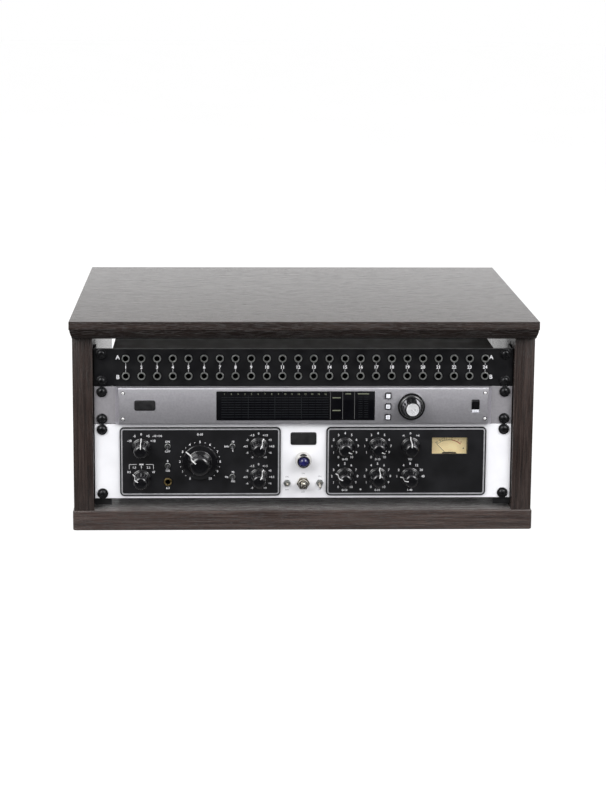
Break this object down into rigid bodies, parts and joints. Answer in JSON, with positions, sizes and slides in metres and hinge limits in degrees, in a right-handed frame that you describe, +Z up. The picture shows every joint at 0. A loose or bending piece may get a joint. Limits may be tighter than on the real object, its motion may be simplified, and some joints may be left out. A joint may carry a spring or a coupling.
{
  "type": "desktop studio rack",
  "caption": "Low laminate desk cabinet with an open back and front, carrying a jack patchbay, an audio interface and a channel strip with knobs, toggles and a meter.",
  "frame": {"origin": "middle of the bottom board's underside", "axes": "+X to the right of someone facing the panels, the front towards -Y, +Z up"},
  "size_m": [0.536, 0.4059, 0.2487],
  "materials": {
    "black_plate": "satin black with a pale line and printed scales",
    "black_powder_coat": "fine powder coat with printed numerals",
    "black_steel": "satin black",
    "black_zinc": "gloss black",
    "brass_jack": "polished",
    "button_white": "translucent white",
    "chassis_black": "satin black",
    "chassis_grey": "plated sheet",
    "chrome": "polished, with a blue lens",
    "circuit_board": "solder mask",
    "dark_laminate": "satin wood grain laminate",
    "display_glass": "gloss black window",
    "jack_grey": "grey, with bright rings",
    "knob_black": "gloss black with a white pointer",
    "lever_steel": "polished",
    "meter_black": "matt",
    "meter_cream": "printed card",
    "meter_glass": "clear",
    "off_white_paint": "satin off-white",
    "silver_paint": "satin metallic",
    "transformer_tape": "wound tape"
  },
  "bodies": {
    "rack": {"bottom_board": "dark_laminate", "compressor_plate": "black_plate", "display_window": "display_glass", "instrument_jack": "brass_jack", "interface_chassis": "chassis_grey", "interface_control_board": "circuit_board", "interface_panel": "silver_paint", "interface_screw_left_lower": "black_zinc", "interface_screw_left_upper": "black_zinc", "interface_screw_right_lower": "black_zinc", "interface_screw_right_upper": "black_zinc", "jack_bank": "jack_grey", "left_rack_rail": "black_steel", "left_side_board": "dark_laminate", "meter_case": "meter_black", "meter_dial": "meter_cream", "meter_window": "meter_glass", "patchbay_chassis": "chassis_black", "patchbay_panel": "black_powder_coat", "patchbay_screw_left_lower": "black_zinc", "patchbay_screw_left_upper": "black_zinc", "patchbay_screw_right_lower": "black_zinc", "patchbay_screw_right_upper": "black_zinc", "power_lamp": "chrome", "power_transformer": "transformer_tape", "preamp_plate": "black_plate", "right_rack_rail": "black_steel", "right_side_board": "dark_laminate", "strip_chassis": "chassis_grey", "strip_control_board": "circuit_board", "strip_panel": "off_white_paint", "strip_screw_left_lower": "black_zinc", "strip_screw_left_upper": "black_zinc", "strip_screw_right_lower": "black_zinc", "strip_screw_right_upper": "black_zinc", "top_board": "dark_laminate"},
    "gain_knob": {"gain_knob": "knob_black"},
    "input_select_knob": {"input_select_knob": "knob_black"},
    "level_knob": {"level_knob": "knob_black"},
    "high_eq_knob": {"high_eq_knob": "knob_black"},
    "low_eq_knob": {"low_eq_knob": "knob_black"},
    "attack_knob": {"attack_knob": "knob_black"},
    "release_knob": {"release_knob": "knob_black"},
    "meter_select_knob": {"meter_select_knob": "knob_black"},
    "compressor_input_knob": {"compressor_input_knob": "knob_black"},
    "compressor_output_knob": {"compressor_output_knob": "knob_black"},
    "ratio_knob": {"ratio_knob": "knob_black"},
    "phantom_toggle": {"phantom_toggle": "lever_steel"},
    "polarity_toggle": {"polarity_toggle": "lever_steel"},
    "high_frequency_toggle": {"high_frequency_toggle": "lever_steel"},
    "low_frequency_toggle": {"low_frequency_toggle": "lever_steel"},
    "left_mode_toggle": {"left_mode_toggle": "lever_steel"},
    "right_mode_toggle": {"right_mode_toggle": "lever_steel"},
    "power_toggle": {"power_toggle": "lever_steel"},
    "meter_needle": {"meter_needle": "meter_black"},
    "interface_level_knob": {"interface_level_knob": "knob_black"},
    "button_1": {"button_1": "button_white"},
    "button_2": {"button_2": "button_white"},
    "button_3": {"button_3": "button_white"},
    "interface_power_switch": {"interface_power_switch": "knob_black"}
  },
  "joints": [
    {"name": "gain_knob_turn", "type": "hinge", "parent": "rack", "child": "gain_knob", "pos_m": [-0.18755, -0.1878, 0.09755], "axis": [0, 1, 0], "range_deg": [-60, 60]},
    {"name": "input_select_knob_turn", "type": "hinge", "parent": "rack", "child": "input_select_knob", "pos_m": [-0.18755, -0.1878, 0.06055], "axis": [0, 1, 0], "range_deg": [0, 120]},
    {"name": "level_knob_turn", "type": "hinge", "parent": "rack", "child": "level_knob", "pos_m": [-0.11975, -0.1878, 0.08055], "axis": [0, 1, 0], "range_deg": [-98, 202]},
    {"name": "high_eq_knob_turn", "type": "hinge", "parent": "rack", "child": "high_eq_knob", "pos_m": [-0.05195, -0.1878, 0.09865], "axis": [0, 1, 0], "range_deg": [-180, 120]},
    {"name": "low_eq_knob_turn", "type": "hinge", "parent": "rack", "child": "low_eq_knob", "pos_m": [-0.05195, -0.1878, 0.06205], "axis": [0, 1, 0], "range_deg": [-180, 120]},
    {"name": "attack_knob_turn", "type": "hinge", "parent": "rack", "child": "attack_knob", "pos_m": [0.04815, -0.1878, 0.09875], "axis": [0, 1, 0], "range_deg": [-269, 31]},
    {"name": "release_knob_turn", "type": "hinge", "parent": "rack", "child": "release_knob", "pos_m": [0.08625, -0.1878, 0.09875], "axis": [0, 1, 0], "range_deg": [-269, 31]},
    {"name": "meter_select_knob_turn", "type": "hinge", "parent": "rack", "child": "meter_select_knob", "pos_m": [0.12395, -0.1878, 0.09875], "axis": [0, 1, 0], "range_deg": [-32, 32]},
    {"name": "compressor_input_knob_turn", "type": "hinge", "parent": "rack", "child": "compressor_input_knob", "pos_m": [0.04815, -0.1878, 0.06285], "axis": [0, 1, 0], "range_deg": [-80, 220]},
    {"name": "compressor_output_knob_turn", "type": "hinge", "parent": "rack", "child": "compressor_output_knob", "pos_m": [0.08625, -0.1878, 0.06275], "axis": [0, 1, 0], "range_deg": [-163, 137]},
    {"name": "ratio_knob_turn", "type": "hinge", "parent": "rack", "child": "ratio_knob", "pos_m": [0.12405, -0.1878, 0.06255], "axis": [0, 1, 0], "range_deg": [0, 180]},
    {"name": "phantom_toggle_flip", "type": "hinge", "parent": "rack", "child": "phantom_toggle", "pos_m": [-0.15715, -0.1914, 0.09895], "axis": [1, 0, 0], "range_deg": [-24, 0]},
    {"name": "polarity_toggle_flip", "type": "hinge", "parent": "rack", "child": "polarity_toggle", "pos_m": [-0.15715, -0.1914, 0.07605], "axis": [1, 0, 0], "range_deg": [-24, 0]},
    {"name": "high_frequency_toggle_flip", "type": "hinge", "parent": "rack", "child": "high_frequency_toggle", "pos_m": [-0.08235, -0.1914, 0.09905], "axis": [1, 0, 0], "range_deg": [-12, 12]},
    {"name": "low_frequency_toggle_flip", "type": "hinge", "parent": "rack", "child": "low_frequency_toggle", "pos_m": [-0.08235, -0.1914, 0.06265], "axis": [1, 0, 0], "range_deg": [-12, 12]},
    {"name": "left_mode_toggle_flip", "type": "hinge", "parent": "rack", "child": "left_mode_toggle", "pos_m": [-0.0188, -0.18982, 0.05435], "axis": [1, 0, 0], "range_deg": [0, 24]},
    {"name": "right_mode_toggle_flip", "type": "hinge", "parent": "rack", "child": "right_mode_toggle", "pos_m": [0.0192, -0.18982, 0.05465], "axis": [1, 0, 0], "range_deg": [-24, 0]},
    {"name": "power_toggle_flip", "type": "hinge", "parent": "rack", "child": "power_toggle", "pos_m": [0, -0.19342, 0.05425], "axis": [1, 0, 0], "range_deg": [0, 34]},
    {"name": "interface_power_rock", "type": "hinge", "parent": "rack", "child": "interface_power_switch", "pos_m": [0.1984, -0.1883, 0.14722], "axis": [1, 0, 0], "range_deg": [-16, 0]},
    {"name": "interface_level_turn", "type": "hinge", "parent": "rack", "child": "interface_level_knob", "pos_m": [0.1238, -0.1915, 0.14722], "axis": [0, 1, 0], "continuous": true},
    {"name": "meter_needle_swing", "type": "hinge", "parent": "rack", "child": "meter_needle", "pos_m": [0.16995, -0.1795, 0.0845], "axis": [0, 1, 0], "range_deg": [0, 88], "stiffness_Nm_per_rad": 0.0001},
    {"name": "button_1_press", "type": "slide", "parent": "rack", "child": "button_1", "axis": [0, 1, 0], "range_m": [0, 0.001], "stiffness_N_per_m": 500},
    {"name": "button_2_press", "type": "slide", "parent": "rack", "child": "button_2", "axis": [0, 1, 0], "range_m": [0, 0.001], "stiffness_N_per_m": 500},
    {"name": "button_3_press", "type": "slide", "parent": "rack", "child": "button_3", "axis": [0, 1, 0], "range_m": [0, 0.001], "stiffness_N_per_m": 500}
  ]
}
